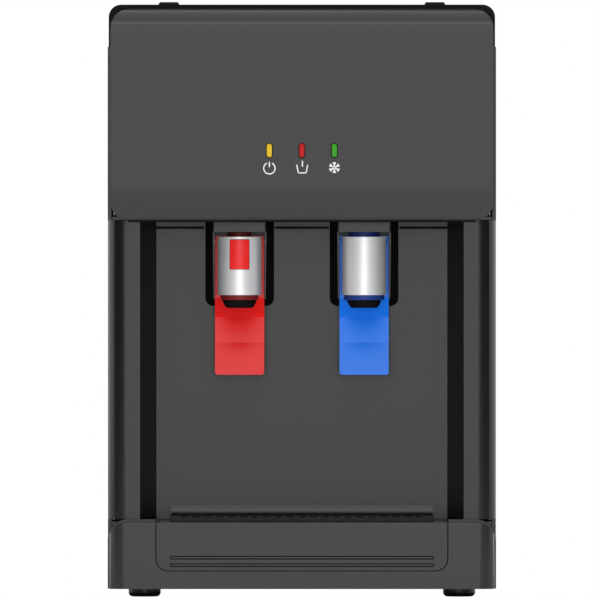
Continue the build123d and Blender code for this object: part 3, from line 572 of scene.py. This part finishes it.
# %% [markdown]
# ## Rear plate, filter bands and compressor box
# A thin metal plate sits on the rear, left blank here. Each filter has a coloured paper band, so that the
# right one goes back in. The water inlet's hose starts with a rubber elbow, and the compressor carries a
# box over its terminals. Plate, elbow and box get their borders and steps by inset and extrude.

# %% Rear plate
PLATE_HALF = 35 * MM
PLATE_Y = (138 * MM, 138.6 * MM)       # the first is the rear panel's outer face
PLATE_Z = (62 * MM, 102 * MM)
PLATE_BORDER = 2.0 * MM
PLATE_SUNK = 0.25 * MM
PLATE_EDGE = 0.12 * MM
plate = box_piece((-PLATE_HALF, PLATE_Y[0], PLATE_Z[0]), (PLATE_HALF, PLATE_Y[1], PLATE_Z[1]))
pick_faces(plate, lambda centre, normal: normal.y > FACING)
bpy.ops.mesh.inset(thickness=PLATE_BORDER)
bpy.ops.mesh.extrude_region_move(TRANSFORM_OT_translate={"value": (0, -PLATE_SUNK, 0)})
bpy.ops.object.mode_set(mode="OBJECT")
soften(plate, PLATE_EDGE)
hand_over(plate, "blank_rating_plate", "cabinet", "zinc_steel", "label_silver")

# %% Filter bands
finish("band_blue", (0.05, 0.22, 0.50), 0.5, relief=0.03, drift=0.05)
finish("band_green", (0.06, 0.34, 0.16), 0.5, relief=0.03, drift=0.05)
BAND_TALL = 52 * MM
BAND_Z = 385 * MM
BAND_PAPER = 0.10 * MM
BAND_CLEAR = 0.08 * MM      # between the cartridge and the paper
node_lists = frame["record"]["behaviour"]["bodies"]
body_of = {node: body for body, nodes in node_lists.items() for node in nodes}


def paper_band(cartridge, colour):
    """A paper band wrapped round one cartridge."""
    low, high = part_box(cartridge)
    x, y = (low.x + high.x) / 2, (low.y + high.y) / 2
    radius = (high.x - low.x) / 2 + BAND_CLEAR
    start_clean()
    bpy.ops.mesh.primitive_cylinder_add(
        vertices=64, radius=radius, depth=BAND_TALL, end_fill_type="NOTHING", location=(x, y, BAND_Z)
    )
    piece = bpy.context.object
    bpy.ops.object.transform_apply(location=True, rotation=True, scale=True)
    wall = piece.modifiers.new("paper", "SOLIDIFY")
    wall.thickness = BAND_PAPER
    wall.offset = 1
    bpy.ops.object.modifier_apply(modifier="paper")
    bpy.ops.object.shade_smooth_by_angle(angle=SMOOTH_LIMIT)
    return hand_over(piece, f"{cartridge}_band", body_of[cartridge], "filter_white", colour)


paper_band("sediment_filter", "band_blue")
paper_band("carbon_filter", "band_green")

# %% Elbow behind the water inlet
ELBOW_R = 8.5 * MM
ELBOW_LONG = 12 * MM
ELBOW_STEP = 2.5 * MM
ELBOW_NECK = 4 * MM
ELBOW_ROUND = 1.0 * MM


def inlet_elbow():
    """The closed rubber end of the inlet's elbow, stepped down to a neck."""
    low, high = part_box("water_inlet")
    x, z = (low.x + high.x) / 2, (low.z + high.z) / 2
    start_clean()
    bpy.ops.mesh.primitive_cylinder_add(
        vertices=40, radius=ELBOW_R, depth=ELBOW_LONG, location=(x, low.y - ELBOW_LONG / 2, z),
        rotation=(math.radians(90), 0, 0),
    )
    piece = bpy.context.object
    bpy.ops.object.transform_apply(location=True, rotation=True, scale=True)
    pick_faces(piece, lambda centre, normal: normal.y < -FACING)
    bpy.ops.mesh.inset(thickness=ELBOW_STEP)
    bpy.ops.mesh.extrude_region_move(TRANSFORM_OT_translate={"value": (0, -ELBOW_NECK, 0)})
    bpy.ops.object.mode_set(mode="OBJECT")
    soften(piece, ELBOW_ROUND, 3)
    return hand_over(piece, "inlet_elbow", "cabinet", "rubber_black")


inlet_elbow()

# %% Compressor terminal box
COVER_LOW = Vector((108, 10, 95)) * MM
COVER_HIGH = Vector((138, 60, 135)) * MM
COVER_BORDER = 4 * MM
COVER_RISE = 3 * MM
COVER_ROUND = 1.2 * MM
cover = box_piece(COVER_LOW, COVER_HIGH)
pick_faces(cover, lambda centre, normal: normal.x > FACING)
bpy.ops.mesh.inset(thickness=COVER_BORDER)
bpy.ops.mesh.extrude_region_move(TRANSFORM_OT_translate={"value": (COVER_RISE, 0, 0)})
bpy.ops.object.mode_set(mode="OBJECT")
soften(cover, COVER_ROUND, 3)
hand_over(cover, "compressor_terminal_box", "cabinet", "black_plastic")

# %% [markdown]
# ## Stage
# The machine stands on a plain pale floor, which camera rays see as pure white, as they see the world. The
# camera is far off with a long lens, so the front looks square on. Dark glossy plastic shows little but
# what it mirrors, so the studio is made of cards: a tall one in front for the flat faces, one above for
# the rounded top edges, one just over the floor for the lower edges, and one at each side for the sides
# and the rims of the pillars. Two keys, in front and behind, light the colours and stay out of
# reflections.

# %% Camera
VIEW_DISTANCE = 22.0
FRAME_WIDTH = 480 * MM
SENSOR = 36.0
LOOK_DOWN = math.radians(0.6)
FAR_END = 60
looked_at = Vector((-1.5 * MM, cad_low.y, 237.9 * MM))
camera_data = bpy.data.cameras.new("view")
camera_data.sensor_width = SENSOR
camera_data.lens = SENSOR * VIEW_DISTANCE / FRAME_WIDTH
camera_data.clip_end = FAR_END
camera = bpy.data.objects.new("view", camera_data)
bpy.context.scene.collection.objects.link(camera)
camera.location = looked_at + VIEW_DISTANCE * Vector((0, -math.cos(LOOK_DOWN), math.sin(LOOK_DOWN)))
camera.rotation_euler = (math.radians(90) - LOOK_DOWN, 0, 0)
bpy.context.scene.camera = camera
print("lens mm:", round(camera_data.lens))

# %% Lights
def soft_light(name, place, aim, wide, tall, brightness):
    """A rectangular light of a given surface brightness, unseen by the camera."""
    data = bpy.data.lights.new(name, "AREA")
    data.shape = "RECTANGLE"
    data.size = wide
    data.size_y = tall
    data.energy = brightness * math.pi * wide * tall
    light = bpy.data.objects.new(name, data)
    bpy.context.scene.collection.objects.link(light)
    light.location = place
    light.rotation_euler = (Vector(aim) - Vector(place)).to_track_quat("-Z", "Y").to_euler()
    light.visible_camera = False
    return light


def camera_sees(tree, felt, seen, output):
    """Camera rays get the shader in seen, and all other rays the one in felt."""
    path = tree.nodes.new("ShaderNodeLightPath")
    choose = tree.nodes.new("ShaderNodeMixShader")
    tree.links.new(path.outputs["Is Camera Ray"], choose.inputs["Fac"])
    tree.links.new(felt, choose.inputs[1])
    tree.links.new(seen, choose.inputs[2])
    tree.links.new(choose.outputs["Shader"], output.inputs["Surface"])


middle = (0, 0, 0.24)
CARDS = {   # name: place, aim, wide, tall, brightness
    "front_card": ((0, -6.0, 2.6), (0, 0, 0.5), 2.6, 6.2, 1.82),
    "top_card": ((0, -0.6, 4.6), (0, 0, 0.4), 2.6, 8.0, 1.35),
    "bounce_card": ((0, -2.736, 0.004), (0, -2.736, 3.0), 1.6, 5.12, 0.95),
    "left_card": ((-3.0, 2.8, 1.2), (0, 2.8, 1.2), 7.0, 3.0, 1.15),
    "right_card": ((3.0, 2.8, 1.2), (0, 2.8, 1.2), 7.0, 3.0, 1.15),
}
KEYS = {
    "key": ((0.15, -4.0, 1.0), middle, 1.5, 1.1, 8.8),
    "back_key": ((2.2, 4.2, 2.6), middle, 1.8, 1.4, 11.0),
}
for name, setting in CARDS.items():
    soft_light(name, *setting)
for name, setting in KEYS.items():
    soft_light(name, *setting).visible_glossy = False

# %% World
WORLD_FELT = 0.06
world = bpy.data.worlds.new("studio")
bpy.context.scene.world = world
world.use_nodes = True
sky = world.node_tree
seen = sky.nodes["Background"]
seen.inputs["Color"].default_value = (1, 1, 1, 1)
felt = sky.nodes.new("ShaderNodeBackground")
felt.inputs["Color"].default_value = (1, 1, 1, 1)
felt.inputs["Strength"].default_value = WORLD_FELT
camera_sees(sky, felt.outputs["Background"], seen.outputs["Background"], sky.nodes["World Output"])
print("lights:", len(CARDS) + len(KEYS))

# %% Floor
FLOOR_SIZE = 14
FLOOR_GREY = 0.50
bpy.ops.object.select_all(action="DESELECT")
bpy.ops.mesh.primitive_plane_add(size=FLOOR_SIZE, location=(0, 0, cad_low.z))
floor = bpy.context.object
floor.name = "floor"
pale = bpy.data.materials.new("pale_floor")
pale.use_nodes = True
paint = pale.node_tree
felt = paint.nodes["Principled BSDF"]
felt.inputs["Base Color"].default_value = (FLOOR_GREY, FLOOR_GREY, FLOOR_GREY, 1)
felt.inputs["Roughness"].default_value = 0.8
seen = paint.nodes.new("ShaderNodeEmission")
seen.inputs["Strength"].default_value = 1.0
camera_sees(paint, felt.outputs["BSDF"], seen.outputs["Emission"], paint.nodes["Material Output"])
floor.data.materials.append(pale)
bpy.context.scene.view_settings.view_transform = "Standard"
